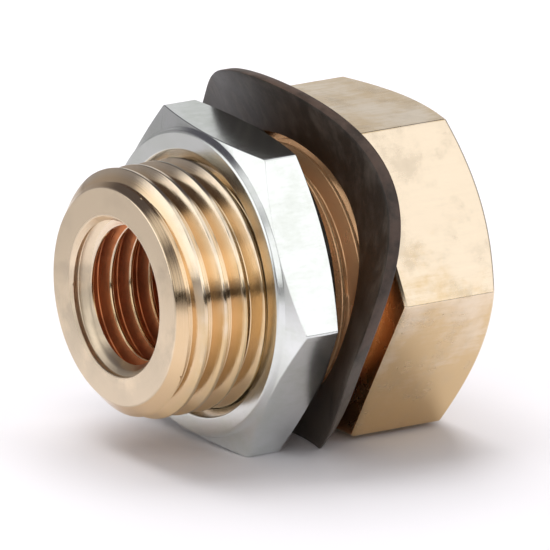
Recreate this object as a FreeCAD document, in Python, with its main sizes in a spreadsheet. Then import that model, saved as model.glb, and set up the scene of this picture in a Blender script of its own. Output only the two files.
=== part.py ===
"""Tank connector: a hexagon-headed threaded brass bush with its lock nut and rubber sealing washer.

It lies on its side. The axis runs along Y, with the open threaded end towards -Y and the head towards +Y.
The origin is on the axis, in the plane of the head's sealing face. Lengths are in millimetres.
The outside thread is cut as a right-hand helix. The inside one is plain at its minor diameter, and the
nut's bore is plain just clear of the crests that it runs on.
"""

import FreeCAD, Part
import math
import os

import Sketcher

OUTPUT_FOLDER = "parts"

# Driving dimensions, in millimetres and degrees: alias, value, what it measures
DIMENSIONS = [
    ("head_length", 10.7, "sealing face to back face"),
    ("head_face_inset", 0.6, "flats of the head to the circle where its chamfer starts"),
    ("hexagon_chamfer_angle", 30.0, "chamfer of head and nut from the face"),
    ("thread_major", 21.8, "crests of the outside thread, M22 x 2"),
    ("thread_pitch", 2.0, "travel of one turn of the outside thread"),
    ("thread_start", 1.2, "first groove's middle at the top of the shank, in front of the front face"),
    ("thread_end", 1.6, "last groove's middle to the sealing face"),
    ("hexagon_wall", 2.6, "radial, crests of the outside thread to the flats of head and nut"),
    ("shank_length", 19.5, "sealing face to front face"),
    ("lead_in_depth", 1.5, "radial, crests of the outside thread to the front face"),
    ("lead_in_angle", 45.0, "lead-in of the outside thread from the axis"),
    ("bore_minor", 11.8, "crests of the inside thread, M14 x 2"),
    ("countersink_depth", 1.1, "radial, bore to the edge of its mouth"),
    ("countersink_length", 1.6, "how deep either bore mouth is along the axis"),
    ("nut_thickness", 6.1, "over both faces of the nut"),
    ("nut_face_inset", 0.4, "flats of the nut to the circle where its chamfer starts"),
    ("nut_thread_clearance", 0.05, "radial, shank to the nut's bore"),
    ("nut_mouth_depth", 0.7, "radial, nut's bore to the edge of its mouth"),
    ("nut_mouth_angle", 45.0, "mouth of the nut from the axis"),
    ("nut_washer_clearance", 0.1, "nut to the foremost part of the washer behind it"),
    ("nut_turn_angle", -4.0, "how far the nut is turned from the head's flats"),
    ("washer_outer", 34.4, "outside diameter of the washer"),
    ("washer_hole_clearance", 0.55, "radial, shank to the washer's hole"),
    ("washer_shank_gap", 0.15, "under the shank, where the lifted washer nearly meets it"),
    ("washer_head_gap", 0.12, "sealing face to the rearmost part of the washer"),
    ("washer_thickness", 1.2, "thickness of the rubber"),
    ("washer_dish", 3.3, "how far the rim leans towards the nut"),
    ("washer_tilt", 1.1, "rim travel of the washer's lean to one side"),
    ("washer_tilt_angle", 77.0, "side that leans back, from +X towards +Z"),
    ("washer_saddle", 0.4, "rim travel of the two-lobed bend"),
    ("washer_saddle_angle", 147.0, "first lobe that bends back"),
    ("washer_wave", 2.4, "rim travel of the three-lobed bend"),
    ("washer_wave_angle", 36.0, "first lobe that bends back"),
]

# Degrees from the middle of a hexagon's flat to its corner
CORNER_ANGLE = 30.0

# Metric thread form: flat on the crests and depth as shares of the pitch, and each flank's lean in degrees
THREAD_CREST_SHARE = 0.15
THREAD_DEPTH_SHARE = 0.565
THREAD_FLANK_ANGLE = 30.0

# How far the groove's outline stands out of the metal, as a share of the pitch
THREAD_RISE_SHARE = 0.05

# Spanner size of head and nut, 27 mm
ACROSS_FLATS = "(<thread_major> + 2 * <hexagon_wall>)"

# Points on each bent edge of the washer, twelve to each of its three waves
WASHER_EDGE_POINTS = 36

# Steps round the washer when its foremost and rearmost parts are looked for
BEND_STEPS = 360


def make_sheet(doc):
    """Writes the driving dimensions into a spreadsheet, one aliased cell each."""
    sheet = doc.addObject("Spreadsheet::Sheet", "sizes")
    for row, (alias, value, meaning) in enumerate(DIMENSIONS, start=1):
        write_size(sheet, row, alias, value, meaning)
    doc.recompute()
    return sheet


def write_size(sheet, row, alias, value, meaning):
    """Fills one row of the sheet: the size's name, its value and what it measures."""
    sheet.set(f"A{row}", alias)
    sheet.set(f"B{row}", str(value))
    sheet.set(f"C{row}", meaning)
    sheet.setAlias(f"B{row}", alias)


def sized(expression):
    """Turns words such as <nut_place> into references to the sheet's cells."""
    return expression.replace("<", "sizes.").replace(">", "")


def origin_feature(body, role):
    """Finds one of a body's own origin planes or axes."""
    for feature in body.Origin.OriginFeatures:
        if feature.Role == role:
            return feature
    raise RuntimeError(f"{body.Label} has no {role}")


def new_sketch(body, name, plane):
    """Adds an empty sketch on one of the body's origin planes."""
    sketch = body.newObject("Sketcher::SketchObject", name)
    sketch.AttachmentSupport = [(origin_feature(body, plane), "")]
    sketch.MapMode = "FlatFace"
    return sketch


def bind(sketch, constraint, name, expression):
    """Adds a named driving constraint and ties it to an expression."""
    index = sketch.addConstraint(constraint)
    sketch.renameConstraint(index, name)
    sketch.setExpression(f"Constraints.{name}", sized(expression))


def value_of(sketch, expression):
    """Works out an expression in the sheet's terms, as a plain number."""
    result = sketch.evalExpression(sized(expression))
    return float(getattr(result, "Value", result))


def hexagon_sketch(body, name, turn=None):
    """Draws a hexagon round the axis, seen along Y, with two flats level or turned from level by an angle."""
    sketch = new_sketch(body, name, "XZ_Plane")
    corner_radius = f"{ACROSS_FLATS} / 2 / cos({CORNER_ANGLE} deg)"
    radius = value_of(sketch, corner_radius)
    start = math.radians(value_of(sketch, turn)) if turn else 0.0
    corners = []
    for k in range(6):
        angle = start + k * math.pi / 3
        corners.append(FreeCAD.Vector(radius * math.cos(angle), radius * math.sin(angle), 0))
    for k in range(6):
        sketch.addGeometry(Part.LineSegment(corners[k], corners[(k + 1) % 6]), False)
    around = Part.Circle(FreeCAD.Vector(0, 0, 0), FreeCAD.Vector(0, 0, 1), radius)
    circle = sketch.addGeometry(around, True)
    sketch.addConstraint(Sketcher.Constraint("Coincident", circle, 3, -1, 1))
    for k in range(6):
        sketch.addConstraint(Sketcher.Constraint("Coincident", k, 2, (k + 1) % 6, 1))
        sketch.addConstraint(Sketcher.Constraint("PointOnObject", k, 1, circle))
    for k in range(1, 6):
        sketch.addConstraint(Sketcher.Constraint("Equal", 0, k))
    bind(sketch, Sketcher.Constraint("Radius", circle, radius), "corner_radius", corner_radius)
    if turn is None:
        sketch.addConstraint(Sketcher.Constraint("PointOnObject", 0, 1, -1))
        return sketch
    raised = Sketcher.Constraint("DistanceY", -1, 1, 0, 1, radius * math.sin(start))
    bind(sketch, raised, "turned", f"{corner_radius} * sin({turn} * 1 deg)")
    return sketch


def profile_sketch(body, name, corners):
    """Draws a closed outline of (distance along Y, radius) corners. A radius of None is on the axis."""
    sketch = new_sketch(body, name, "YZ_Plane")
    places = []
    for along, radius in corners:
        places.append(FreeCAD.Vector(value_of(sketch, along), value_of(sketch, radius) if radius else 0.0, 0))
    count = len(corners)
    for k in range(count):
        sketch.addGeometry(Part.LineSegment(places[k], places[(k + 1) % count]), False)
    for k in range(count):
        sketch.addConstraint(Sketcher.Constraint("Coincident", k, 2, (k + 1) % count, 1))
    for k, (along, radius) in enumerate(corners):
        if along == "0":
            sketch.addConstraint(Sketcher.Constraint("PointOnObject", k, 1, -2))
        else:
            bind(sketch, Sketcher.Constraint("DistanceX", -1, 1, k, 1, places[k].x), f"along_{k}", along)
        if radius is None:
            sketch.addConstraint(Sketcher.Constraint("PointOnObject", k, 1, -1))
        else:
            bind(sketch, Sketcher.Constraint("DistanceY", -1, 1, k, 1, places[k].y), f"radius_{k}", radius)
    return sketch


def pad(body, name, sketch, length, backwards):
    """Pads a hexagon along the axis, towards +Y when backwards."""
    feature = body.newObject("PartDesign::Pad", name)
    feature.Profile = sketch
    feature.setExpression("Length", sized(length))
    feature.Reversed = backwards
    return feature


def turn_off(doc, body, name, corners):
    """Cuts a turned groove of the given outline out of the body, and checks that it removes metal."""
    before = body.Shape.Volume
    sketch = profile_sketch(body, f"{name}_outline", corners)
    groove = body.newObject("PartDesign::Groove", name)
    groove.Profile = sketch
    groove.ReferenceAxis = (sketch, ["H_Axis"])
    groove.Angle = 360.0
    doc.recompute()
    if not body.Shape.Volume < before:
        raise RuntimeError(f"{name} removes nothing")
    return groove


def cut_thread(doc, body, name, crest, start, end):
    """Cuts a right-hand helical groove into a shank, from start to end along Y, and checks that it does."""
    before = body.Shape.Volume
    top_half = f"<thread_pitch> * {1 - THREAD_CREST_SHARE} / 2"
    slope = f"tan({THREAD_FLANK_ANGLE} deg)"
    depth = f"<thread_pitch> * {THREAD_DEPTH_SHARE}"
    rise = f"<thread_pitch> * {THREAD_RISE_SHARE}"
    root_half = f"({top_half} - {depth} * {slope})"
    rise_half = f"({top_half} + {rise} * {slope})"
    sketch = profile_sketch(body, f"{name}_outline", [
        (f"{start} - {rise_half}", f"{crest} + {rise}"),
        (f"{start} - {root_half}", f"{crest} - {depth}"),
        (f"{start} + {root_half}", f"{crest} - {depth}"),
        (f"{start} + {rise_half}", f"{crest} + {rise}"),
    ])
    groove = body.newObject("PartDesign::SubtractiveHelix", name)
    groove.Profile = sketch
    groove.ReferenceAxis = (sketch, ["H_Axis"])
    groove.Mode = "pitch-height-angle"
    groove.setExpression("Pitch", sized("<thread_pitch>"))
    groove.setExpression("Height", sized(f"{end} - ({start})"))
    doc.recompute()
    if not body.Shape.Volume < before:
        raise RuntimeError(f"{name} removes nothing")
    return groove


def make_connector_body(doc):
    """The brass bush, turned from hexagon bar: head, shank, lead-in, back chamfer and through bore."""
    body = doc.addObject("PartDesign::Body", "connector_body")
    body.Label = "connector_body"
    bar = hexagon_sketch(body, "bar_section")
    head = pad(body, "head_bar", bar, "<head_length>", True)
    doc.recompute()
    shank_bar = pad(body, "shank_bar", bar, "<shank_length>", False)
    doc.recompute()
    if not shank_bar.Shape.Volume > head.Shape.Volume:
        raise RuntimeError("the shank's bar adds nothing")
    clear = ACROSS_FLATS
    front = "-<shank_length>"
    crest = "<thread_major> / 2"
    turn_off(doc, body, "shank_turning", [
        (front, f"{crest} - <lead_in_depth>"),
        (f"{front} + <lead_in_depth> / tan(<lead_in_angle> * 1 deg)", crest),
        ("0", crest),
        ("0", clear),
        (front, clear),
    ])
    cut_thread(doc, body, "outside_thread", crest, f"{front} - <thread_start>", "-<thread_end>")
    face = f"({ACROSS_FLATS} / 2 - <head_face_inset>)"
    turn_off(doc, body, "head_chamfer", [
        ("<head_length>", face),
        ("<head_length>", clear),
        (f"<head_length> - ({clear} - {face}) * tan(<hexagon_chamfer_angle> * 1 deg)", clear),
    ])
    bore = "<bore_minor> / 2"
    mouth = f"{bore} + <countersink_depth>"
    turn_off(doc, body, "through_bore", [
        (front, None),
        (front, mouth),
        (f"{front} + <countersink_length>", bore),
        ("<head_length> - <countersink_length>", bore),
        ("<head_length>", mouth),
        ("<head_length>", None),
    ])
    return body


def make_lock_nut(doc):
    """The steel hexagon nut, chamfered on both faces, at its place on the shank."""
    body = doc.addObject("PartDesign::Body", "lock_nut")
    body.Label = "lock_nut"
    section = hexagon_sketch(body, "nut_section", "<nut_turn_angle>")
    section.setExpression("AttachmentOffset.Base.z", sized("<nut_place>"))
    pad(body, "nut_bar", section, "<nut_thickness>", False)
    doc.recompute()
    back = "-<nut_place>"
    front = "-<nut_place> - <nut_thickness>"
    clear = ACROSS_FLATS
    face = f"({ACROSS_FLATS} / 2 - <nut_face_inset>)"
    drop = f"({clear} - {face}) * tan(<hexagon_chamfer_angle> * 1 deg)"
    turn_off(doc, body, "front_chamfer", [
        (front, face),
        (front, clear),
        (f"{front} + {drop}", clear),
    ])
    turn_off(doc, body, "back_chamfer", [
        (back, face),
        (back, clear),
        (f"{back} - {drop}", clear),
    ])
    bore = "<thread_major> / 2 + <nut_thread_clearance>"
    mouth = f"{bore} + <nut_mouth_depth>"
    mouth_length = "<nut_mouth_depth> / tan(<nut_mouth_angle> * 1 deg)"
    turn_off(doc, body, "threaded_bore", [
        (front, None),
        (front, mouth),
        (f"{front} + {mouth_length}", bore),
        (f"{back} - {mouth_length}", bore),
        (back, mouth),
        (back, None),
    ])
    return body


def washer_radii(sheet):
    """The radii of the washer's hole and of its rim."""
    return sheet.thread_major / 2 + sheet.washer_hole_clearance, sheet.washer_outer / 2


def angles_round(count):
    """Evenly spaced angles round the axis, from +X towards +Z."""
    return [2 * math.pi * k / count for k in range(count)]


def washer_bend(sheet, radius, angle):
    """How far the bend moves the washer along Y at a radius and an angle, from where it would lie flat."""
    share = radius / (sheet.washer_outer / 2)
    tilt = sheet.washer_tilt * share * math.cos(angle - math.radians(sheet.washer_tilt_angle))
    saddle_turn = 2 * (angle - math.radians(sheet.washer_saddle_angle))
    saddle = sheet.washer_saddle * share ** 2 * math.cos(saddle_turn)
    wave_turn = 3 * (angle - math.radians(sheet.washer_wave_angle))
    wave = sheet.washer_wave * share ** 3 * math.cos(wave_turn)
    return tilt + saddle + wave - sheet.washer_dish * share ** 2


def washer_place(sheet):
    """How far along Y the washer's front lies before it is bent: its rearmost part clears the head."""
    bends = []
    for radius in washer_radii(sheet):
        bends += [washer_bend(sheet, radius, angle) for angle in angles_round(BEND_STEPS)]
    return -max(bends) - sheet.washer_thickness - sheet.washer_head_gap


def hexagon_radii(sheet):
    """The radii of the flats and of the corners of head and nut."""
    flat = sheet.thread_major / 2 + sheet.hexagon_wall
    return flat, flat / math.cos(math.radians(CORNER_ANGLE))


def nut_place(sheet):
    """How far the nut's back face stands from the sealing face: as near as the bent washer lets it."""
    hole, rim = washer_radii(sheet)
    flat, corner = hexagon_radii(sheet)
    face = flat - sheet.nut_face_inset
    corner_relief = (corner - face) * math.tan(math.radians(sheet.hexagon_chamfer_angle))
    needed = []
    for angle in angles_round(BEND_STEPS):
        at_hole = washer_bend(sheet, hole, angle)
        at_rim = washer_bend(sheet, rim, angle)
        for radius, relief in ((face, 0.0), (corner, corner_relief)):
            share = min((radius - hole) / (rim - hole), 1.0)
            front = washer_place(sheet) + at_hole + (at_rim - at_hole) * share
            needed.append(-front - relief)
    return max(needed) + sheet.nut_washer_clearance


def add_nut_place(doc, sheet):
    """Adds the nut's worked-out place to the sheet, below the driving dimensions."""
    row = len(DIMENSIONS) + 1
    write_size(sheet, row, "nut_place", nut_place(sheet), "sealing face to the nut's back face")
    doc.recompute()


def floor_level(sheet):
    """Height of the surface under the connector, at the nut's lowest corner or the head's lowest flat."""
    flat, corner = hexagon_radii(sheet)
    turn = sheet.nut_turn_angle % (2 * CORNER_ANGLE)
    from_corner = CORNER_ANGLE - min(turn, 2 * CORNER_ANGLE - turn)
    return -max(corner * math.cos(math.radians(from_corner)), flat)


def washer_edge(sheet, radius, offset):
    """One closed bent edge of the washer at a radius, moved along Y by an offset."""
    lift = sheet.washer_hole_clearance - sheet.washer_shank_gap
    points = []
    for angle in angles_round(WASHER_EDGE_POINTS):
        along = washer_place(sheet) + washer_bend(sheet, radius, angle) + offset
        points.append(FreeCAD.Vector(radius * math.cos(angle), along, radius * math.sin(angle) + lift))
    curve = Part.BSplineCurve()
    curve.interpolate(points, PeriodicFlag=True)
    return curve.toShape()


def make_sealing_washer(doc, sheet):
    """The thin rubber washer, bent in a dish and three waves, loose on the shank and flat on the floor."""
    hole, rim = washer_radii(sheet)
    thickness = sheet.washer_thickness
    front_hole = washer_edge(sheet, hole, 0)
    front_rim = washer_edge(sheet, rim, 0)
    back_hole = washer_edge(sheet, hole, thickness)
    back_rim = washer_edge(sheet, rim, thickness)
    pairs = [(front_hole, front_rim), (front_rim, back_rim), (back_rim, back_hole), (back_hole, front_hole)]
    shell = Part.makeShell([Part.makeRuledSurface(a, b) for a, b in pairs])
    shell.sewShape()
    ring = Part.makeSolid(shell)
    if ring.Volume < 0:
        ring.reverse()
    reach = 2 * sheet.washer_outer
    corner = FreeCAD.Vector(-reach / 2, -reach / 2, floor_level(sheet) - reach)
    below_floor = Part.makeBox(reach, reach, reach, corner)
    washer = doc.addObject("Part::Feature", "sealing_washer")
    washer.Label = "sealing_washer"
    washer.Shape = ring.cut(below_floor).Solids[0]
    washer.Placement = FreeCAD.Placement()
    return washer


def check_document(doc, pieces):
    """Stops if an object failed to compute or a piece isn't one valid solid."""
    doc.recompute()
    for item in doc.Objects:
        if "Invalid" in item.State or "Error" in item.State:
            raise RuntimeError(f"{item.Label} failed to compute: {item.State}")
    for piece in pieces:
        shape = piece.Shape
        if shape.isNull() or not shape.isValid() or len(shape.Solids) != 1:
            raise RuntimeError(f"{piece.Label} isn't one valid solid")


def main():
    """Builds the three pieces and writes each one to its own file."""
    doc = FreeCAD.newDocument("tank_connector")
    sheet = make_sheet(doc)
    add_nut_place(doc, sheet)
    pieces = [make_connector_body(doc), make_lock_nut(doc), make_sealing_washer(doc, sheet)]
    check_document(doc, pieces)
    os.makedirs(OUTPUT_FOLDER, exist_ok=True)
    for piece in pieces:
        piece.Shape.exportStep(f"{OUTPUT_FOLDER}/{piece.Label}.step")
        box = piece.Shape.optimalBoundingBox()
        extent = f"Y {box.YMin:.2f} to {box.YMax:.2f}, Z from {box.ZMin:.2f}"
        print(f"{piece.Label}: {piece.Shape.Volume:.1f} mm3, {extent}")


main()
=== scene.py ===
"""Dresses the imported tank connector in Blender: machined brass, zinc plate and moulded rubber.

Lengths are in metres where nothing else is said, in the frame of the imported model: the axis runs along Y,
with the open threaded end towards -Y, the head towards +Y and the floor below in Z. The pieces are modelled
again here with their real threads and eased edges, in the places and sizes of the nodes that they replace.
"""

import logging
import math
from collections.abc import Callable, Sequence
from dataclasses import dataclass
from enum import Enum
from functools import partial

import bmesh
import bpy
from mathutils import Matrix, Vector

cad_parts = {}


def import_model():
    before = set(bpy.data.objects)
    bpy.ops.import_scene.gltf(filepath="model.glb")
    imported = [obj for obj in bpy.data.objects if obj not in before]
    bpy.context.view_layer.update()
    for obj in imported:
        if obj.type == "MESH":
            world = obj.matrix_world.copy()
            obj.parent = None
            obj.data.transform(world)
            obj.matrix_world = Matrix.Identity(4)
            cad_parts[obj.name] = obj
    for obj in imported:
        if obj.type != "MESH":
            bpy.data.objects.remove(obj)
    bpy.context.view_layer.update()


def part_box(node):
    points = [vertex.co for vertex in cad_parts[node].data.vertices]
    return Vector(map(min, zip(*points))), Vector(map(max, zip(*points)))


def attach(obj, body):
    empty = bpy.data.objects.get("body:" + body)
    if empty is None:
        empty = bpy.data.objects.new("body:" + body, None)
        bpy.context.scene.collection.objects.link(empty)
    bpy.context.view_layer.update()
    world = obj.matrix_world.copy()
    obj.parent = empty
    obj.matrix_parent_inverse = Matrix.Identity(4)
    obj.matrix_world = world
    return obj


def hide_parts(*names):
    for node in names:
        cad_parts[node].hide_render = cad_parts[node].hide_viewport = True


LOG = logging.getLogger("tank_connector")

MM = 0.001
FULL_TURN = 2 * math.pi
HALF_FLANKS = math.radians(30)  # half the angle between a thread's flanks
HALF_SIDE = math.radians(30)  # half the angle that a hexagon's side fills
NUDGE = 1e-9  # keeps an angle on a border to one side of it
OUTER_BAND = 0.2 * MM  # how far below a hexagon's flats its outer points start
MERGED = 0.002 * MM  # points nearer to each other than this are one
SLIVER = 0.001 * MM  # edges shorter than this go
NOISE_MEAN = 0.5

Point = tuple[float, float]
Span = tuple[float, float]
Triple = tuple[float, float, float]
Colour = Triple


def between(first: Point, second: Point, share: float) -> Point:
    """Gives the point at a share of the way from one point to another."""
    return (first[0] + (second[0] - first[0]) * share, first[1] + (second[1] - first[1]) * share)


def eased(corners: Sequence[Point], ease: float, most: float = 0.4) -> list[Point]:
    """Breaks the inner corners of an open outline, as a deburring tool does.

    Args:
        corners: The outline's points, as (along the axis, radius).
        ease: How much of either side each corner loses.
        most: The largest share of a side that it may lose.

    Returns:
        The outline with each inner corner replaced by two points.
    """
    points = [corners[0]]
    for before, corner, after in zip(corners, corners[1:], corners[2:]):
        for other in (before, after):
            length = math.dist(corner, other)
            share = min(ease / length, most) if length > 0 else 0.0
            points.append(between(corner, other, share))
    return points + [corners[-1]]


class Wall(Enum):
    """Which side of a threaded wall the metal is on."""

    SHANK = 1
    BORE = -1


@dataclass(frozen=True)
class Thread:
    """A right-hand thread with 60 degree flanks, on a shank or in a bore.

    Attributes:
        wall: Whether it is cut on a shank or in a bore.
        pitch: Travel of one turn.
        crest: Radius of the crests, which are the metal's furthest reach.
        root: Radius of the roots.
        crest_width: Flat left on each crest.
        crest_at: Where along the axis a crest's middle is at angle 0.
        ease: How much each edge is rounded.
    """

    wall: Wall
    pitch: float
    crest: float
    root: float
    crest_width: float
    crest_at: float
    ease: float = 0.05 * MM

    def flank(self) -> float:
        """Gives how far each flank reaches along the axis."""
        return abs(self.crest - self.root) * math.tan(HALF_FLANKS)

    def marks(self) -> list[Point]:
        """Gives one turn's outline, as (distance along the axis from the crest's middle, radius)."""
        half = self.crest_width / 2
        corners = [
            (0.0, self.crest),
            (half, self.crest),
            (half + self.flank(), self.root),
            (self.pitch / 2, self.root),
        ]
        crest_in, crest_out, root_in, root_out = eased(corners, self.ease)[1:5]
        flank = [between(crest_out, root_in, share) for share in (1 / 3, 2 / 3)]
        rising = [crest_in, crest_out, *flank, root_in, root_out]
        falling = [(self.pitch - along, radius) for along, radius in reversed(rising)]
        return rising + falling

    def rows(self, angle: float, low: float, high: float) -> list[Point]:
        """Gives the thread's outline at an angle, with the same number of points at every angle.

        Args:
            angle: Angle round the axis, from +X towards +Z.
            low: Where the outline starts along the axis.
            high: Where it ends.

        Returns:
            Points as (along the axis, radius), in order, some of them before low or beyond high.
        """
        first = math.floor((low - self.crest_at) / self.pitch) - 1
        turns = math.ceil((high - low) / self.pitch) + 3
        start = self.crest_at - self.pitch * angle / FULL_TURN
        marks = self.marks()
        crests = [start + (first + k) * self.pitch for k in range(turns)]
        return [(crest + along, radius) for crest in crests for along, radius in marks]

    def cut(self, angle: float, low: float, high: float, limit: Callable[[float], float]) -> list[Point]:
        """Gives the outline at an angle where the thread is cut into a turned wall.

        Args:
            angle: Angle round the axis.
            low: Where the threaded wall starts along the axis.
            high: Where it ends.
            limit: The turned wall's radius at a place along the axis.

        Returns:
            Points as (along the axis, radius), all of them from low to high.
        """
        side = self.wall.value
        rows = [(min(max(along, low), high), radius) for along, radius in self.rows(angle, low, high)]
        over = [side * (radius - limit(along)) for along, radius in rows]
        points = [
            (along, limit(along) if excess > 0 else radius) for (along, radius), excess in zip(rows, over)
        ]
        for k in range(len(rows) - 1):
            if over[k] * over[k + 1] < 0 and rows[k + 1][0] > rows[k][0]:
                share = over[k] / (over[k] - over[k + 1])
                along = rows[k][0] + (rows[k + 1][0] - rows[k][0]) * share
                points[k if share < 0.5 else k + 1] = (along, limit(along))
        return points


@dataclass(frozen=True)
class Hexagon:
    """A hexagon round the axis with slightly rounded corners.

    Attributes:
        flat: Distance from the axis to each flat.
        turn: Angle of the first corner, from +X towards +Z, in degrees.
        rounding: Radius of the corners.
        near: Angles nearer to a corner than this, in degrees, are pulled onto its rounding.
    """

    flat: float
    turn: float
    rounding: float
    near: float = 4.0

    def centre(self) -> float:
        """Gives how far from the axis a corner's rounding has its centre."""
        return (self.flat - self.rounding) / math.cos(HALF_SIDE)

    def reach(self) -> float:
        """Gives the angle from a corner to where its rounding meets the flat."""
        across = self.rounding * math.sin(HALF_SIDE)
        return math.atan2(across, self.centre() + self.rounding * math.cos(HALF_SIDE))

    def past_corner(self, angle: float) -> float:
        """Gives how far an angle is past the nearest corner, and less than nothing before it."""
        past = angle - math.radians(self.turn) + HALF_SIDE + NUDGE
        return past % (2 * HALF_SIDE) - HALF_SIDE

    def pulled(self, angle: float) -> float:
        """Moves an angle so that evenly spaced ones crowd at the corners and model their rounding.

        Args:
            angle: One of the evenly spaced angles.

        Returns:
            The angle to use on the hexagon.
        """
        past = self.past_corner(angle)
        near = math.radians(self.near)
        reach = self.reach()
        if abs(past) <= near:
            moved = abs(past) * reach / near
        else:
            moved = reach + (abs(past) - near) * (HALF_SIDE - reach) / (HALF_SIDE - near)
        return angle - past + math.copysign(moved, past)

    def radius(self, angle: float) -> float:
        """Gives the outline's radius at an angle round the axis."""
        away = abs(self.past_corner(angle))
        if away >= self.reach():
            return self.flat / math.cos(HALF_SIDE - away)
        centre = self.centre()
        return centre * math.cos(away) + math.sqrt(self.rounding**2 - (centre * math.sin(away)) ** 2)


def ring_mesh(
    name: str,
    steps: int,
    outline: Callable[[float], list[Point]],
    hexagon: Hexagon | None = None,
    lift: float = 0.0,
    crease: float = 42.0,
) -> bpy.types.Object:
    """Makes a closed ring-shaped mesh from an outline that goes once round the metal at every angle.

    Args:
        name: Name of the new object.
        steps: How many even steps make the turn.
        outline: Gives the closed outline at an angle, as (along the axis, radius), each with as many points.
        hexagon: The piece's hexagon, whose outer points are pulled to its corners.
        lift: How far the ring's own middle is above the axis.
        crease: Edges that bend by more than this many degrees are sharp.

    Returns:
        The object, linked to the scene, with doubled points merged and its normals outwards.
    """
    mesh = bmesh.new()
    columns = []
    for step in range(steps + 1):
        angle = FULL_TURN * step / steps
        outer = hexagon.pulled(angle) if hexagon else angle
        column = []
        for along, radius in outline(angle):
            place = outer if hexagon and radius > hexagon.flat - OUTER_BAND else angle
            point = (radius * math.cos(place), along, radius * math.sin(place) + lift)
            column.append(mesh.verts.new(point))
        columns.append(column)
    count = len(columns[0])
    for left, right in zip(columns, columns[1:]):
        for k in range(count):
            after = (k + 1) % count
            mesh.faces.new((left[k], left[after], right[after], right[k]))
    bmesh.ops.remove_doubles(mesh, verts=mesh.verts, dist=MERGED)
    bmesh.ops.dissolve_degenerate(mesh, edges=mesh.edges, dist=SLIVER)
    bmesh.ops.recalc_face_normals(mesh, faces=mesh.faces)
    data = bpy.data.meshes.new(name)
    mesh.to_mesh(data)
    mesh.free()
    data.shade_smooth()
    data.set_sharp_from_angle(angle=math.radians(crease))
    piece = bpy.data.objects.new(name, data)
    bpy.context.scene.collection.objects.link(piece)
    weighted = piece.modifiers.new("weighted_normals", "WEIGHTED_NORMAL")
    weighted.keep_sharp = True
    return piece


@dataclass(frozen=True)
class Tint:
    """A colour that lies over another in places.

    Attributes:
        colour: The colour.
        levels: Where it sets in and where it is full, as values of what it follows.
        strength: How much of it shows where it is full, from 0 to 1.
    """

    colour: Colour
    levels: Span
    strength: float = 1.0


class Term:
    """A shader socket that can be used in sums: each operator adds a Math node."""

    def __init__(self, graph: "Graph", socket: bpy.types.NodeSocket) -> None:
        """Keeps the socket and the graph that it belongs to."""
        self.graph = graph
        self.socket = socket

    def __add__(self, other: "Term | float") -> "Term":
        """Adds two values."""
        return self.graph.maths("ADD", self, other)

    def __radd__(self, other: float) -> "Term":
        """Adds this value to a number."""
        return self.graph.maths("ADD", other, self)

    def __sub__(self, other: "Term | float") -> "Term":
        """Takes a value from this one."""
        return self.graph.maths("SUBTRACT", self, other)

    def __rsub__(self, other: float) -> "Term":
        """Takes this value from a number."""
        return self.graph.maths("SUBTRACT", other, self)

    def __mul__(self, other: "Term | float") -> "Term":
        """Multiplies two values."""
        return self.graph.maths("MULTIPLY", self, other)

    def __rmul__(self, other: float) -> "Term":
        """Multiplies a number by this value."""
        return self.graph.maths("MULTIPLY", other, self)

    def __truediv__(self, other: "Term | float") -> "Term":
        """Divides this value by another."""
        return self.graph.maths("DIVIDE", self, other)

    def __rtruediv__(self, other: float) -> "Term":
        """Divides a number by this value."""
        return self.graph.maths("DIVIDE", other, self)

    def __gt__(self, other: "Term | float") -> "Term":
        """Gives 1 where this value is the greater, and 0 elsewhere."""
        return self.graph.maths("GREATER_THAN", self, other)

    def __lt__(self, other: "Term | float") -> "Term":
        """Gives 1 where this value is the smaller, and 0 elsewhere."""
        return self.graph.maths("LESS_THAN", self, other)


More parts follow.
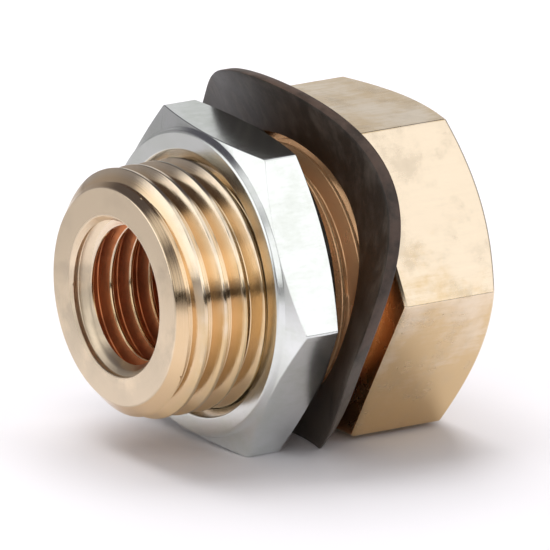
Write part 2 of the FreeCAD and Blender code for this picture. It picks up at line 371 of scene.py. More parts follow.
class Graph:
    """The node tree of a material or a world, filled one node at a time."""

    MIX_COLOURS = (6, 7)  # a Mix node's two colour inputs
    MIX_RESULT = 2  # its colour output

    def __init__(self, tree: bpy.types.NodeTree) -> None:
        """Empties the tree and keeps it."""
        self.tree = tree
        tree.nodes.clear()

    def node(
        self,
        kind: str,
        settings: dict | None = None,
        inputs: dict | None = None,
        output: int | str = 0,
    ) -> Term:
        """Adds one node.

        Args:
            kind: The node's type, without its ShaderNode prefix.
            settings: Properties set first. A ramp's stops are a list of (place, colour).
            inputs: Values or terms by socket name or number.
            output: Which output the term stands for.

        Returns:
            The chosen output.
        """
        node = self.tree.nodes.new(f"ShaderNode{kind}")
        for name, value in (settings or {}).items():
            if name == "stops":
                self._set_stops(node.color_ramp, value)
            else:
                setattr(node, name, value)
        for name, value in (inputs or {}).items():
            if isinstance(value, Term):
                self.tree.links.new(value.socket, node.inputs[name])
            else:
                node.inputs[name].default_value = value
        return Term(self, node.outputs[output]) if len(node.outputs) else Term(self, None)

    @staticmethod
    def _set_stops(ramp: bpy.types.ColorRamp, stops: Sequence[tuple[float, Colour]]) -> None:
        """Writes a ramp's stops, from a list of (place, colour)."""
        while len(ramp.elements) < len(stops):
            ramp.elements.new(1.0)
        for element, (place, colour) in zip(ramp.elements, stops):
            element.position = place
            element.color = (*colour, 1.0)

    def maths(self, operation: str, first: "Term | float", second: "Term | float" = 0.0) -> Term:
        """Adds a Math node and gives its value."""
        return self.node("Math", {"operation": operation}, {0: first, 1: second})

    def blend(self, factor: Term, first: "Term | Colour", second: "Term | Colour") -> Term:
        """Mixes two colours and gives the result."""
        under, over = self.MIX_COLOURS
        inputs = {0: factor, under: self._rgba(first), over: self._rgba(second)}
        return self.node("Mix", {"data_type": "RGBA"}, inputs, self.MIX_RESULT)

    def tinted(self, base: "Term | Colour", tints: Sequence[tuple[Term, Tint]]) -> Term:
        """Lays tints over a colour one after the other, each where its term says."""
        colour = base
        for where, tint in tints:
            colour = self.blend(where * tint.strength, colour, tint.colour)
        return colour

    def weighted(self, start: "Term | float", parts: Sequence[tuple[Term, float]]) -> "Term | float":
        """Adds parts to a value, each times its weight."""
        total = start
        for part, weight in parts:
            total = total + part * weight
        return total

    @staticmethod
    def _rgba(colour: "Term | Colour") -> "Term | tuple[float, float, float, float]":
        """Gives a colour the fourth number that a colour socket takes."""
        return colour if isinstance(colour, Term) else (*colour, 1.0)

    def smooth(self, value: Term, span: Span) -> Term:
        """Rises smoothly from 0 to 1 while a value goes through a span, and stays there."""
        inputs = {"Value": value, "From Min": span[0], "From Max": span[1], "To Min": 0.0, "To Max": 1.0}
        return self.node("MapRange", {"interpolation_type": "SMOOTHSTEP"}, inputs)

    def place(self) -> tuple[Term, Term, Term]:
        """Gives a point's place along X, Y and Z in millimetres."""
        spot = self.node("TexCoord", output="Object")
        scaled = self.node("VectorMath", {"operation": "SCALE"}, {0: spot, "Scale": 1 / MM})
        return tuple(self.node("SeparateXYZ", inputs={0: scaled}, output=k) for k in range(3))

    def vector(self, x: "Term | float", y: "Term | float", z: "Term | float") -> Term:
        """Joins three values into a vector."""
        return self.node("CombineXYZ", inputs={0: x, 1: y, 2: z})

    def stretched(self, place: tuple[Term, Term, Term], by: Triple) -> Term:
        """Joins a place's three values into a vector, each times its own number."""
        return self.vector(*(along * factor for along, factor in zip(place, by)))

    def noise(self, spot: Term, scale: float, detail: float, roughness: float) -> Term:
        """Gives a noise value from 0 to 1 at a place."""
        inputs = {"Vector": spot, "Scale": scale, "Detail": detail, "Roughness": roughness}
        return self.node("TexNoise", inputs=inputs)

    def bump(self, height: Term, strength: float, distance: float) -> Term:
        """Gives the normal of a surface with a fine relief."""
        return self.node("Bump", inputs={"Strength": strength, "Distance": distance, "Height": height})

    def surface(self, inputs: dict) -> None:
        """Adds a surface's shader with its inputs and makes it the material's."""
        self.node("OutputMaterial", inputs={"Surface": self.node("BsdfPrincipled", inputs=inputs)})


def new_material(name: str) -> tuple[bpy.types.Material, Graph]:
    """Makes an empty material and the graph that fills it."""
    material = bpy.data.materials.new(name)
    material.use_nodes = True
    return material, Graph(material.node_tree)


@dataclass(frozen=True)
class MachinedBrass:
    """Pale brass as it leaves the lathe, drawn flats and turned rings, with painted shade in the thread
    grooves, in the bore and between the nut and the head.

    Its places and radii are in millimetres. Where one is a span, a look gives way to the next over it.

    Attributes:
        pale: Colour of the clean metal.
        warm_and_shade: Its yellower patches, by noise, and painted shade in the same colour, warmer and
            darker towards the underside and all over the top flat.
        ends: The turned face at the threaded end, by the place along the axis.
        stain: Its darker brown stains, by noise.
        dull_and_shade: The same stains on the end face, by noise, with painted shade that grows towards its
            bottom.
        groove_shade: Painted warm shade in the roots of the outside thread, by the depth below its crests.
        seat_shade: Painted warm shade on the thread between the nut and the head, by the place along the
            axis.
        bore: Painted red-brown shade in the bore's thread, by the depth below its crests.
        bore_streaks: Darker streaks in that painted shade, by noise.
        polish: Roughness of the clean metal.
        drawn: How much finer the drawn marks are along X, Y and Z.
        crest: Radius of the outside thread's crests.
        bore_crest: Radius of the inside thread's crests.
        flat_radius: Where the turned chamfers give way to the drawn flats.
        flats_along: Where the flats start and end along the axis.
        top_flat_shade_height: Height above which the head's top flat is painted warmer and darker all over,
            as painted shade.
        shank_end: Where the shank ends along the axis.
        outside: Where the shank's outside starts, as a radius.
        inside: Where the bore's wall ends, as a radius.
        front_mouth: Where the front mouth gives way to the oily bore.
        back_mouth: Where the oily bore gives way to the back mouth.
        head_face: Where the head's sealing face starts, which stays as metallic as the clean metal.
        seat_end: Where that painted shade ends along the axis, just past that face.
        seat_sway: How far the noise moves that painted shade's other end.
    """

    pale: Colour = (0.87, 0.73, 0.56)
    warm_and_shade: Tint = Tint((0.74, 0.54, 0.30), (0.36, 0.7), 0.95)
    ends: Tint = Tint((0.90, 0.74, 0.54), (-19.48, -19.35), 0.9)
    stain: Tint = Tint((0.63, 0.53, 0.40), (0.46, 0.72), 0.34)
    dull_and_shade: Tint = Tint((0.63, 0.53, 0.40), (0.4, 0.72), 0.7)
    groove_shade: Tint = Tint((0.82, 0.60, 0.37), (0.12, 0.9), 0.8)
    seat_shade: Tint = Tint((0.86, 0.51, 0.26), (-9.0, -5.5))
    bore: Tint = Tint((0.72, 0.26, 0.10), (0.07, 0.16))
    bore_streaks: Tint = Tint((0.30, 0.09, 0.04), (0.4, 0.62), 0.5)
    polish: float = 0.12
    drawn: Triple = (1.6, 0.22, 1.6)
    crest: float = 10.9
    bore_crest: float = 5.9
    flat_radius: Span = (12.6, 12.9)
    flats_along: Span = (0.05, 10.6)
    top_flat_shade_height: float = 13.4
    shank_end: float = -0.05
    outside: Span = (7.3, 8.0)
    inside: Span = (7.02, 7.2)
    front_mouth: Span = (-17.9, -17.0)
    back_mouth: Span = (8.2, 9.1)
    head_face: float = -0.3
    seat_end: float = 0.02
    seat_sway: float = 4.0

    def material(self) -> bpy.types.Material:
        """Makes the brass."""
        material, graph = new_material("machined_brass")
        x, y, z = graph.place()
        spot = graph.vector(x, y, z)
        radius = graph.maths("SQRT", x * x + z * z)

        start, end = self.flats_along
        flats = graph.smooth(radius, self.flat_radius) * (y > start) * (y < end)
        rings = graph.noise(graph.vector(radius, y, 0.0), scale=7.0, detail=5.0, roughness=0.65)
        drawn = graph.stretched((x, y, z), self.drawn)
        streaks = graph.noise(drawn, scale=1.3, detail=6.0, roughness=0.65)
        marks = streaks * flats + rings * (1.0 - flats)
        cloud = graph.noise(spot, scale=0.2, detail=6.0, roughness=0.6)
        mottle = graph.noise(spot, scale=0.38, detail=5.0, roughness=0.6)

        outside = graph.smooth(radius, self.outside)
        inside = 1.0 - graph.smooth(radius, self.inside)
        shank = (y < self.shank_end) * outside
        face = 1.0 - graph.smooth(y, self.ends.levels)
        mouth = inside * (y < self.front_mouth[0])
        ends = face * (1.0 - inside) + mouth
        # Painted warm shade in the roots of the outside thread, deeper below its crests.
        groove_shade = shank * graph.smooth(self.crest - radius, self.groove_shade.levels) * (1.0 - face)
        # Painted warm shade on the thread between the nut and the head.
        seat_shade = graph.smooth(y + cloud * self.seat_sway, self.seat_shade.levels) * (y < self.seat_end) * outside
        # Painted red-brown shade in the bore's thread, deeper below its crests.
        bore = inside * graph.smooth(radius - self.bore_crest, self.bore.levels)
        bore = bore * graph.smooth(y, self.front_mouth) * (1.0 - graph.smooth(y, self.back_mouth))

        # Warm patches by noise, with painted shade: warmer and darker towards the underside and all over the
        # top flat.
        warmth_and_shade = graph.weighted(cloud, [
            (marks - NOISE_MEAN, 0.3),
            (z, -0.028),
            (z > self.top_flat_shade_height, 0.4),
            (shank, 0.08),
        ])
        # Stains on the end face by noise, with painted shade that grows towards its bottom.
        dullness_and_shade = graph.weighted(cloud, [(mottle - NOISE_MEAN, 0.6), (z, -0.03)])
        stains = graph.smooth(mottle, self.stain.levels)
        colour = graph.tinted(self.pale, [
            (graph.smooth(warmth_and_shade, self.warm_and_shade.levels), self.warm_and_shade),
            (ends, self.ends),
            (stains, self.stain),
            (ends * graph.smooth(dullness_and_shade, self.dull_and_shade.levels), self.dull_and_shade),
            (groove_shade, self.groove_shade),
            (seat_shade, self.seat_shade),
            (bore, self.bore),
            (bore * graph.smooth(mottle, self.bore_streaks.levels), self.bore_streaks),
        ])
        rough = graph.weighted(self.polish, [
            (marks - NOISE_MEAN, 0.16),
            (cloud - NOISE_MEAN, 0.12),
            (flats, 0.1),
            (stains, 0.08),
            (bore, 0.18),
            (seat_shade, 0.12),
            (ends, 0.06),
            (mouth, 0.16),
        ])
        graph.surface({
            "Base Color": colour,
            "Metallic": graph.weighted(1.0, [(bore, -0.25), (seat_shade * (y < self.head_face), -0.5)]),
            "Roughness": rough,
            "Normal": graph.bump(marks, strength=0.3, distance=0.02 * MM),
        })
        return material


@dataclass(frozen=True)
class ZincPlate:
    """Bright zinc plate over steel: cool and slightly cloudy, with faint scuffs.

    Attributes:
        bright: Colour of the plate.
        cloudy: Its duller, greener patches, by noise.
        satin: Roughness of the plate.
        drawn: How much finer the scuffs are along X, Y and Z.
    """

    bright: Colour = (0.82, 0.84, 0.83)
    cloudy: Tint = Tint((0.75, 0.78, 0.74), (0.38, 0.7))
    satin: float = 0.21
    drawn: Triple = (2.0, 0.5, 2.0)

    def material(self) -> bpy.types.Material:
        """Makes the zinc plate."""
        material, graph = new_material("zinc_plate")
        x, y, z = graph.place()
        cloud = graph.noise(graph.vector(x, y, z), scale=0.28, detail=6.0, roughness=0.62)
        drawn = graph.stretched((x, y, z), self.drawn)
        scuffs = graph.noise(drawn, scale=1.5, detail=5.0, roughness=0.6)
        patches = graph.smooth(cloud + (scuffs - NOISE_MEAN) * 0.3, self.cloudy.levels)
        rough = graph.weighted(self.satin, [(cloud - NOISE_MEAN, 0.14), (scuffs - NOISE_MEAN, 0.12)])
        graph.surface({
            "Base Color": graph.tinted(self.bright, [(patches, self.cloudy)]),
            "Metallic": 1.0,
            "Roughness": rough,
            "Normal": graph.bump(scuffs, strength=0.2, distance=0.02 * MM),
        })
        return material


@dataclass(frozen=True)
class MouldedRubber:
    """Black-brown rubber with a fine grain, a dusty bloom and a browner, lighter cut edge, partly a painted
    highlight along the rim.

    Attributes:
        dark: Colour of the rubber.
        bloom: Its dusty patches, by noise.
        edge: The cut rim's browner tone and a painted highlight along it, by noise.
        matt: Roughness of the rubber.
        drawn: How much finer the wiped streaks are along X, Y and Z.
        rim: Where the cut rim starts, as radii in millimetres.
        lift: How far the washer's middle is above the axis, in millimetres.
        dust: How much more bloom there is for each millimetre below the middle.
    """

    dark: Colour = (0.023, 0.016, 0.011)
    bloom: Tint = Tint((0.085, 0.067, 0.053), (0.44, 0.66))
    edge: Tint = Tint((0.095, 0.06, 0.045), (0.3, 0.65))
    matt: float = 0.5
    drawn: Triple = (0.9, 0.5, 0.25)
    rim: Span = (17.08, 17.18)
    lift: float = 0.4
    dust: float = 0.014

    def material(self) -> bpy.types.Material:
        """Makes the rubber."""
        material, graph = new_material("moulded_rubber")
        x, y, z = graph.place()
        spot = graph.vector(x, y, z)
        grain = graph.noise(spot, scale=6.0, detail=4.0, roughness=0.65)
        cloud = graph.noise(spot, scale=0.3, detail=6.0, roughness=0.65)
        drawn = graph.stretched((x, y, z), self.drawn)
        wiped = graph.noise(drawn, scale=0.9, detail=6.0, roughness=0.7)
        height = z - self.lift
        radius = graph.maths("SQRT", x * x + height * height)
        below = graph.maths("MINIMUM", height, 0.0)
        dusty = graph.smooth(cloud * 0.5 + wiped * 0.5 - below * self.dust, self.bloom.levels)
        # The rim is lighter and browner by noise: partly the cut edge's own tone, partly a painted highlight
        # along it.
        cut = graph.smooth(radius, self.rim) * graph.smooth(cloud, self.edge.levels)
        rough = graph.weighted(self.matt, [(cloud - NOISE_MEAN, 0.3), (grain - NOISE_MEAN, 0.2)])
        graph.surface({
            "Base Color": graph.tinted(self.dark, [(dusty, self.bloom), (cut, self.edge)]),
            "Roughness": rough,
            "Normal": graph.bump(grain, strength=0.35, distance=0.04 * MM),
        })
        return material


def dress(piece: bpy.types.Object, material: bpy.types.Material, body: str, node: str) -> None:
    """Gives a piece its material and puts it in the place of a node.

    Args:
        piece: The new piece.
        material: Its finish.
        body: The body that it rides on.
        node: The node that it replaces.
    """
    piece.data.materials.append(material)
    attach(piece, body)
    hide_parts(node)


@dataclass
class ConnectorBody:
    """The brass bush: hexagon head, threaded shank, and a bore threaded from end to end.

    Attributes:
        front: Where the threaded end's face is along the axis.
        back: Where the head's far face is.
        flat: Distance from the axis to the head's flats.
        corner: Radius of the head's corners.
        face_inset: How much nearer to the axis than the flats the head's far face ends.
        chamfer: Slope of the head's chamfer, in degrees.
        shank: The outside thread, M22 x 2.
        front_face: Radius at which the front face meets the lead-in.
        bore: The inside thread, M14 x 2.
        mouth: Radius of the bore's mouths.
        mouth_length: How far they reach into the bore.
        run_out: Length over which the outside thread runs out.
        relief: Length of the plain shank between its run-out and the head.
        edge: How much the head's front edge is broken.
        ease: How much the other edges are broken.
        crease: Edges that bend by more than this many degrees stay sharp.
        steps: How many even steps make the turn.
    """

    front: float
    back: float
    flat: float = 13.5 * MM
    corner: float = 0.25 * MM
    face_inset: float = 0.6 * MM
    chamfer: float = 30.0
    shank: Thread = Thread(
        wall=Wall.SHANK,
        pitch=2.0 * MM,
        crest=10.9 * MM,
        root=9.77 * MM,
        crest_width=0.3 * MM,
        crest_at=-17.2 * MM,
    )
    front_face: float = 9.4 * MM
    bore: Thread = Thread(
        wall=Wall.BORE,
        pitch=2.0 * MM,
        crest=5.9 * MM,
        root=6.98 * MM,
        crest_width=0.25 * MM,
        crest_at=-12.77 * MM,
    )
    mouth: float = 7.0 * MM
    mouth_length: float = 1.6 * MM
    run_out: float = 1.5 * MM
    relief: float = 0.6 * MM
    edge: float = 0.22 * MM
    ease: float = 0.12 * MM
    crease: float = 28.0
    steps: int = 180

    def shank_wall(self, along: float) -> float:
        """Gives the turned shank's radius along the axis, lead-in and all."""
        return min(self.shank.crest, self.front_face + (along - self.front))

    def bore_wall(self, along: float) -> float:
        """Gives the turned bore's radius along the axis, with its mouths."""
        slope = (self.mouth - self.bore.crest) / self.mouth_length
        from_end = min(along - self.front, self.back - along)
        return max(self.bore.crest, self.mouth - from_end * slope)

    def outline(self, hexagon: Hexagon, angle: float) -> list[Point]:
        """Goes once round the metal at an angle.

        Args:
            hexagon: The head's outline.
            angle: Angle round the axis.

        Returns:
            The closed outline, as (along the axis, radius).
        """
        corner = hexagon.radius(hexagon.pulled(angle))
        face = self.flat - self.face_inset
        shoulder = self.back - (corner - face) * math.tan(math.radians(self.chamfer))
        low = self.front + self.ease
        high = self.back - self.ease
        front = eased([
            (low, self.bore_wall(low)),
            (self.front, self.mouth),
            (self.front, self.front_face),
            (low, self.shank_wall(low)),
        ], self.ease / 2)
        shank = self.shank.cut(angle, low, 0.0, self.shank_wall)
        shank = [(along, self.faded(along, radius)) for along, radius in shank]
        broken = [(0.0, corner - self.edge), (self.edge, corner)]
        head = eased([
            (self.edge, corner),
            (shoulder, corner),
            (self.back, face),
            (self.back, self.mouth),
            (high, self.bore_wall(high)),
        ], self.ease)
        bore = self.bore.cut(angle, low, high, self.bore_wall)
        return front[1:-1] + shank + broken + head[1:-1] + bore[::-1]

    def faded(self, along: float, radius: float) -> float:
        """Lets the thread run out before the head, as the die leaves it."""
        share = min(max((-along - self.relief) / self.run_out, 0.0), 1.0)
        return max(radius, self.shank_wall(along) - (self.shank.crest - self.shank.root) * share)

    def build(self, brass: bpy.types.Material) -> bpy.types.Object:
        """Makes the bush, dresses it and puts it in its node's place."""
        hexagon = Hexagon(self.flat, turn=0.0, rounding=self.corner)
        outline = partial(self.outline, hexagon)
        piece = ring_mesh("brass_bush", self.steps, outline, hexagon, crease=self.crease)
        dress(piece, brass, "connector", "connector_body")
        return piece


@dataclass
class LockNut:
    """The zinc-plated hexagon nut, with a thread that meshes with the shank's.

    Attributes:
        front: Where the nut's front face is along the axis.
        back: Where its back face is.
        shank: The thread that it runs on.
        flat: Distance from the axis to the flats.
        corner: Radius of the corners.
        turn: Angle of the first corner, in degrees.
        face: Radius at which each flat face ends.
        shoulder: Depth of the soft shoulder between a face and its chamfer.
        shoulder_edge: Radius at which the shoulder meets the chamfer.
        crown: Shares of the shoulder's depth and width at its middle point, which make it round.
        chamfer: Slope of the chamfers, in degrees.
        mouth: Radius of the bore's mouths.
        play: Gap between the two threads.
        ease: How far the bore's mouths are eased.
        crease: Edges that bend by more than this many degrees stay sharp.
        steps: How many even steps make the turn.
    """

    front: float
    back: float
    shank: Thread
    flat: float = 13.5 * MM
    corner: float = 0.3 * MM
    turn: float = -4.0
    face: float = 13.0 * MM
    shoulder: float = 0.6 * MM
    shoulder_edge: float = 13.42 * MM
    crown: Point = (0.25, 0.6)
    chamfer: float = 21.6
    mouth: float = 11.65 * MM
    play: float = 0.1 * MM
    ease: float = 0.15 * MM
    crease: float = 28.0
    steps: int = 180

    def thread(self) -> Thread:
        """Gives the nut's thread: its crests lie in the shank's grooves, with a little play all round."""
        shank = self.shank
        return Thread(
            wall=Wall.BORE,
            pitch=shank.pitch,
            crest=shank.root + self.play,
            root=shank.crest + self.play,
            crest_width=shank.pitch - shank.crest_width - 2 * shank.flank(),
            crest_at=shank.crest_at + shank.pitch / 2,
        )

    def bore_wall(self, along: float) -> float:
        """Gives the turned bore's radius along the axis, with a countersunk mouth at either face."""
        return max(self.thread().crest, self.mouth - min(along - self.front, self.back - along))

    def outline(self, hexagon: Hexagon, angle: float) -> list[Point]:
        """Goes once round the metal at an angle.

        Args:
            hexagon: The nut's outline.
            angle: Angle round the axis.

        Returns:
            The closed outline, as (along the axis, radius).
        """
        corner = hexagon.radius(hexagon.pulled(angle))
        drop = self.shoulder + (corner - self.shoulder_edge) * math.tan(math.radians(self.chamfer))
        depth = self.shoulder * self.crown[0]
        turned = self.face + (self.shoulder_edge - self.face) * self.crown[1]
        low = self.front + self.ease
        high = self.back - self.ease
        outside = eased([
            (low, self.bore_wall(low)),
            (self.front, self.mouth),
            (self.front, self.face),
            (self.front + depth, turned),
            (self.front + self.shoulder, self.shoulder_edge),
            (self.front + drop, corner),
            (self.back - drop, corner),
            (self.back - self.shoulder, self.shoulder_edge),
            (self.back - depth, turned),
            (self.back, self.face),
            (self.back, self.mouth),
            (high, self.bore_wall(high)),
        ], self.ease / 3)
        bore = self.thread().cut(angle, low, high, self.bore_wall)
        return outside[1:-1] + bore[::-1]

    def build(self, zinc: bpy.types.Material) -> bpy.types.Object:
        """Makes the nut, dresses it and puts it in its node's place."""
        hexagon = Hexagon(self.flat, self.turn, self.corner)
        outline = partial(self.outline, hexagon)
        piece = ring_mesh("zinc_nut", self.steps, outline, hexagon, crease=self.crease)
        dress(piece, zinc, "nut", "lock_nut")
        return piece


@dataclass
class SealingWasher:
    """The bent rubber washer: a dish with a lean, a two-lobed and a three-lobed wave, flat on the floor.

    Attributes:
        floor: Height of the floor, which its rim doesn't pass.
        rear: Where its back reaches along the axis.
        hole: Radius of its hole.
        rim: Radius of its rim.
        thickness: How thick it is.
        lift: How far its middle is above the axis.
        dish: How far its rim is bent towards the threaded end.
        tilt: How far it leans at the rim.
        tilt_angle: Angle at which it leans back, in degrees, as are the other angles.
        saddle: Height of the two-lobed wave at the rim.
        saddle_angle: Angle of one of its two lobes.
        wave: Height of the three-lobed wave at the rim.
        wave_angle: Angle of one of its three lobes.
        curl: How far the lower right of the rim is curled back.
        curl_angle: Angle of that curl's middle.
        curl_reach: How far it reaches to either side.
        shrink: How much smaller the rim is there.
        slant: How much smaller again it is at the back, which slants the cut edge.
        ease: How much the edges are rounded.
        nick: Share of that at which the rounding has its middle point.
        steps: How many even steps make the turn.
        rows: How many rings of faces each side has.
    """

    floor: float
    rear: float
    hole: float = 11.45 * MM
    rim: float = 17.2 * MM
    thickness: float = 1.2 * MM
    lift: float = 0.4 * MM
    dish: float = 3.3 * MM
    tilt: float = 1.1 * MM
    tilt_angle: float = 77.0
    saddle: float = 0.4 * MM
    saddle_angle: float = 147.0
    wave: float = 2.4 * MM
    wave_angle: float = 36.0
    curl: float = 0.5 * MM
    curl_angle: float = -48.0
    curl_reach: float = 45.0
    shrink: float = 0.9 * MM
    slant: float = 0.9 * MM
    ease: float = 0.14 * MM
    nick: float = 0.3
    steps: int = 240
    rows: int = 12

    def curled(self, angle: float) -> float:
        """Gives how much of the curl an angle has, from 0 to 1."""
        away = (angle - math.radians(self.curl_angle) + math.pi) % FULL_TURN - math.pi
        reach = math.radians(self.curl_reach)
        return math.cos(away / reach * math.pi / 2) ** 2 if abs(away) < reach else 0.0

    def bend(self, radius: float, angle: float) -> float:
        """Gives how far the bend moves the rubber along the axis at a radius and an angle."""
        share = radius / self.rim
        tilt = self.tilt * share * math.cos(angle - math.radians(self.tilt_angle))
        saddle = self.saddle * share**2 * math.cos(2 * (angle - math.radians(self.saddle_angle)))
        wave = self.wave * share**3 * math.cos(3 * (angle - math.radians(self.wave_angle)))
        curl = self.curl * self.curled(angle) * (radius - self.hole) / (self.rim - self.hole)
        return tilt + saddle + wave + curl - self.dish * share**2

    def place(self) -> float:
        """Gives where the flat washer's front would lie, so that the bent one's back reaches its place."""
        angles = [FULL_TURN * k / self.steps for k in range(self.steps)]
        furthest = max(self.bend(radius, angle) for radius in (self.hole, self.rim) for angle in angles)
        return self.rear - self.thickness - furthest

    def outline(self, angle: float) -> list[Point]:
        """Goes once round the rubber at an angle: front, rim, back and hole."""
        up = math.sin(angle)
        curled = self.curled(angle)
        rim = self.rim - self.shrink * curled
        rim = min(rim, (self.floor - self.lift) / up) if up < 0 else rim
        far = rim - self.slant * curled
        ease = self.ease
        nick = self.nick * ease
        inner = self.hole + ease
        shares = [k / self.rows for k in range(self.rows + 1)]
        front = [(0.0, inner + (rim - ease - inner) * share) for share in shares]
        edge = [
            (nick, rim - nick),
            (ease, rim),
            (self.thickness - ease, far),
            (self.thickness - nick, far - nick),
        ]
        back = [(self.thickness, inner + (far - ease - inner) * share) for share in reversed(shares)]
        lip = [
            (self.thickness - nick, self.hole + nick),
            (self.thickness - ease, self.hole),
            (ease, self.hole),
            (nick, self.hole + nick),
        ]
        start = self.place()
        section = front + edge + back + lip
        return [(start + self.bend(radius, angle) + depth, radius) for depth, radius in section]

    def build(self, rubber: bpy.types.Material) -> bpy.types.Object:
        """Makes the washer, dresses it and puts it in its node's place."""
        piece = ring_mesh("rubber_washer", self.steps, self.outline, lift=self.lift)
        dress(piece, rubber, "connector", "sealing_washer")
        return piece


@dataclass(frozen=True)
class Panel:
    """A soft bright panel of the room.

    Attributes:
        towards: Direction from the connector to its middle.
        core: Half the angle that it fills evenly, in degrees.
        fade: Half the angle at which it has faded out, in degrees.
        level: How bright it is, where 1 is white.
    """

    towards: Triple
    core: float
    fade: float
    level: float


# As the camera sees them: right, above right, far side, left, near side and above left.
PANELS = (
    Panel(towards=(0.68, 0.54, 0.50), core=17.0, fade=20.0, level=1.3),
    Panel(towards=(0.30, 0.54, 0.79), core=16.0, fade=28.0, level=1.0),
    Panel(towards=(-0.78, 0.54, 0.32), core=12.0, fade=26.0, level=0.70),
    Panel(towards=(-0.28, -0.95, 0.12), core=24.0, fade=36.0, level=1.3),
    Panel(towards=(0.79, -0.54, 0.36), core=16.0, fade=32.0, level=1.2),
    Panel(towards=(0.14, -0.50, 0.85), core=12.0, fade=26.0, level=0.95),
)

# The room's colours, from the horizon at 0 to straight above at 1.
ROOM = (
    (0.0, (0.40, 0.39, 0.40)),
    (0.25, (0.34, 0.33, 0.34)),
    (0.5, (0.105, 0.10, 0.115)),
    (1.0, (0.08, 0.075, 0.09)),
)


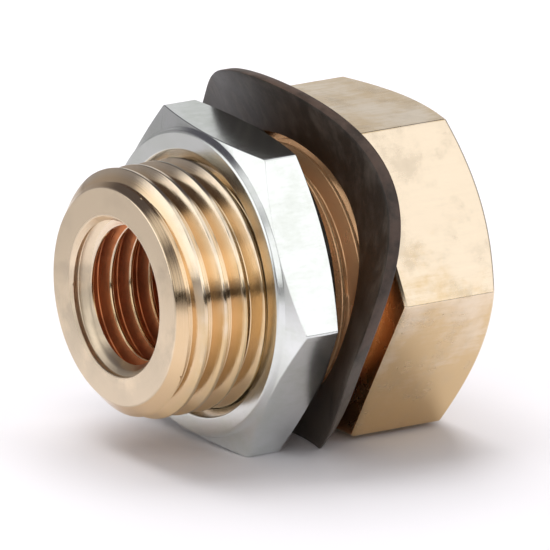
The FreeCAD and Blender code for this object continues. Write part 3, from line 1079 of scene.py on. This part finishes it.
@dataclass
class Studio:
    """A pale table, a grey room with bright panels, a soft lamp and the camera.

    Attributes:
        floor: Height of the table's top.
        azimuth: Angle of the camera round the connector, in degrees.
        elevation: Angle of the camera above the table, in degrees.
        roll: Turn of the camera about its own line of sight, in degrees.
        distance: How far it is away.
        lens: Its focal length, in millimetres.
        shift_across: How far it is moved to its own right.
        shift_up: How far it is moved up its own frame.
        clip_end: How far it sees.
        table_half: Half the table's side.
        white: Colour of the table.
        shade: Colour of the table's painted shade at the front left, where its light falls off, which the
            metal reflects.
        shade_towards: Direction of the shade across the table.
        shade_span: Where it sets in and where it is full, in millimetres.
        table_painted_shade: Colour of the table's painted shade far out on the right, which the metal
            reflects as a dark band.
        room_gap: Colour of the room behind it.
        dark_band_towards: Direction of both.
        dark_band_sides: Where they set in and where they are full, as cosines from that direction.
        dark_band_height: Where the room's ends above the horizon, as sines.
        pool: Where the table's painted shade sets in and where it is full, in millimetres.
        lamp_towards: Direction of the lamp.
        lamp_distance: How far it is away.
        lamp_size: Its side.
        lamp_level: How bright its face is, where 1 is white.
    """

    floor: float
    azimuth: float = 55.749
    elevation: float = 16.448
    roll: float = 0.920
    distance: float = 1.4881
    lens: float = 1135.6
    shift_across: float = -2.438 * MM
    shift_up: float = -0.971 * MM
    clip_end: float = 10.0
    table_half: float = 4.0
    white: Colour = (0.875, 0.855, 0.88)
    shade: Colour = (0.47, 0.455, 0.46)
    shade_towards: Point = (-0.6, -0.8)
    shade_span: Span = (24.0, 80.0)
    table_painted_shade: Colour = (0.04, 0.035, 0.03)
    room_gap: Colour = (0.03, 0.025, 0.02)
    dark_band_towards: Triple = (0.97, -0.10, 0.0)
    dark_band_sides: Span = (0.1, 0.3)
    dark_band_height: Span = (0.10, 0.14)
    pool: Span = (600.0, 780.0)
    lamp_towards: Triple = (-0.36, 0.08, 0.90)
    lamp_distance: float = 0.6
    lamp_size: float = 0.54
    lamp_level: float = 4.2

    def camera(self) -> bpy.types.Object:
        """Sets up the camera at the photograph's angle."""
        azimuth, elevation = math.radians(self.azimuth), math.radians(self.elevation)
        level = math.cos(elevation)
        back = Vector((math.sin(azimuth) * level, -math.cos(azimuth) * level, math.sin(elevation)))
        across = Vector((math.cos(azimuth), math.sin(azimuth), 0.0))
        up = back.cross(across)
        turned = Matrix.Rotation(math.radians(self.roll), 3, back)
        across, up = turned @ across, turned @ up
        data = bpy.data.cameras.new("camera")
        data.lens = self.lens
        data.clip_end = self.clip_end
        camera = bpy.data.objects.new("camera", data)
        camera.matrix_world = Matrix((
            (across.x, up.x, back.x, 0.0),
            (across.y, up.y, back.y, 0.0),
            (across.z, up.z, back.z, 0.0),
            (0.0, 0.0, 0.0, 1.0),
        ))
        camera.location = back * self.distance + across * self.shift_across + up * self.shift_up
        bpy.context.scene.collection.objects.link(camera)
        bpy.context.scene.camera = camera
        return camera

    def table(self) -> bpy.types.Object:
        """Lays the table, white round the connector, with painted shade where the metal shows it darker."""
        size = self.table_half
        data = bpy.data.meshes.new("table")
        corners = [(-size, -size), (size, -size), (size, size), (-size, size)]
        data.from_pydata([(x, y, self.floor) for x, y in corners], [], [(0, 1, 2, 3)])
        table = bpy.data.objects.new("table", data)
        bpy.context.scene.collection.objects.link(table)
        material, graph = new_material("table_white")
        x, y, _ = graph.place()
        away = graph.maths("SQRT", x * x + y * y)
        aim = Vector(self.dark_band_towards).normalized()
        sideways = (x * aim.x + y * aim.y) / away
        # Painted shade: the table is dark far out on the right, so that the metal shows a dark band.
        dark_band = graph.smooth(away, self.pool) * graph.smooth(sideways, self.dark_band_sides)
        # Painted shade: the table darkens towards the front left, where its light falls off, and the metal
        # reflects it.
        shade = graph.smooth(x * self.shade_towards[0] + y * self.shade_towards[1], self.shade_span)
        colour = graph.blend(shade, self.white, self.shade)
        graph.surface({
            "Base Color": graph.blend(dark_band, colour, self.table_painted_shade),
            "Roughness": 1.0,
            "Specular IOR Level": 0.0,
        })
        data.materials.append(material)
        return table

    def lamp(self) -> bpy.types.Object:
        """Hangs a large soft lamp over the table."""
        data = bpy.data.lights.new("key_lamp", "AREA")
        data.shape = "RECTANGLE"
        data.size = data.size_y = self.lamp_size
        data.energy = self.lamp_level * math.pi * self.lamp_size**2
        lamp = bpy.data.objects.new("key_lamp", data)
        direction = Vector(self.lamp_towards).normalized()
        lamp.location = direction * self.lamp_distance
        lamp.rotation_euler = direction.to_track_quat("Z", "Y").to_euler()
        lamp.visible_camera = False
        lamp.visible_glossy = False
        bpy.context.scene.collection.objects.link(lamp)
        return lamp

    def room(self) -> None:
        """Surrounds everything with a soft grey room, its panels and the dark band low on the right."""
        world = bpy.data.worlds.new("studio_room")
        bpy.context.scene.world = world
        world.use_nodes = True
        graph = Graph(world.node_tree)
        direction = graph.node("TexCoord", output="Generated")
        height = graph.node("SeparateXYZ", inputs={0: direction}, output=2)
        colour = graph.node("ValToRGB", {"stops": ROOM}, {0: height})
        for panel in PANELS:
            near = self.towards(graph, direction, panel.towards)
            span = (math.cos(math.radians(panel.fade)), math.cos(math.radians(panel.core)))
            colour = graph.blend(graph.smooth(near, span), colour, (panel.level,) * 3)
        dark_band = graph.smooth(self.towards(graph, direction, self.dark_band_towards), self.dark_band_sides)
        dark_band = dark_band * (1.0 - graph.smooth(height, self.dark_band_height))
        room = graph.node("Background", inputs={"Color": graph.blend(dark_band, colour, self.room_gap)})
        graph.node("OutputWorld", inputs={"Surface": room})

    @staticmethod
    def towards(graph: Graph, direction: Term, aim: Triple) -> Term:
        """Gives the cosine between a direction and an aim."""
        settings = {"operation": "DOT_PRODUCT"}
        inputs = {0: direction, 1: Vector(aim).normalized()}
        return graph.node("VectorMath", settings, inputs, "Value")

    def build(self) -> None:
        """Sets the whole stage."""
        self.camera()
        self.table()
        self.lamp()
        self.room()
        bpy.context.scene.view_settings.view_transform = "Standard"


def main() -> None:
    """Builds the studio and the three pieces, and reports each one."""
    logging.basicConfig(level=logging.INFO, format="%(name)s: %(message)s")
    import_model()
    low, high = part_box("connector_body")
    nut_low, nut_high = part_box("lock_nut")
    washer_low, washer_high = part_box("sealing_washer")
    floor = nut_low.z
    Studio(floor=floor).build()
    body = ConnectorBody(front=low.y, back=high.y)
    nut = LockNut(front=nut_low.y, back=nut_high.y, shank=body.shank)
    washer = SealingWasher(floor=washer_low.z, rear=washer_high.y)
    pieces = [
        body.build(MachinedBrass().material()),
        nut.build(ZincPlate().material()),
        washer.build(MouldedRubber().material()),
    ]
    for piece in pieces:
        LOG.info("%s: %d faces", piece.name, len(piece.data.polygons))


if __name__ == "__main__":
    main()
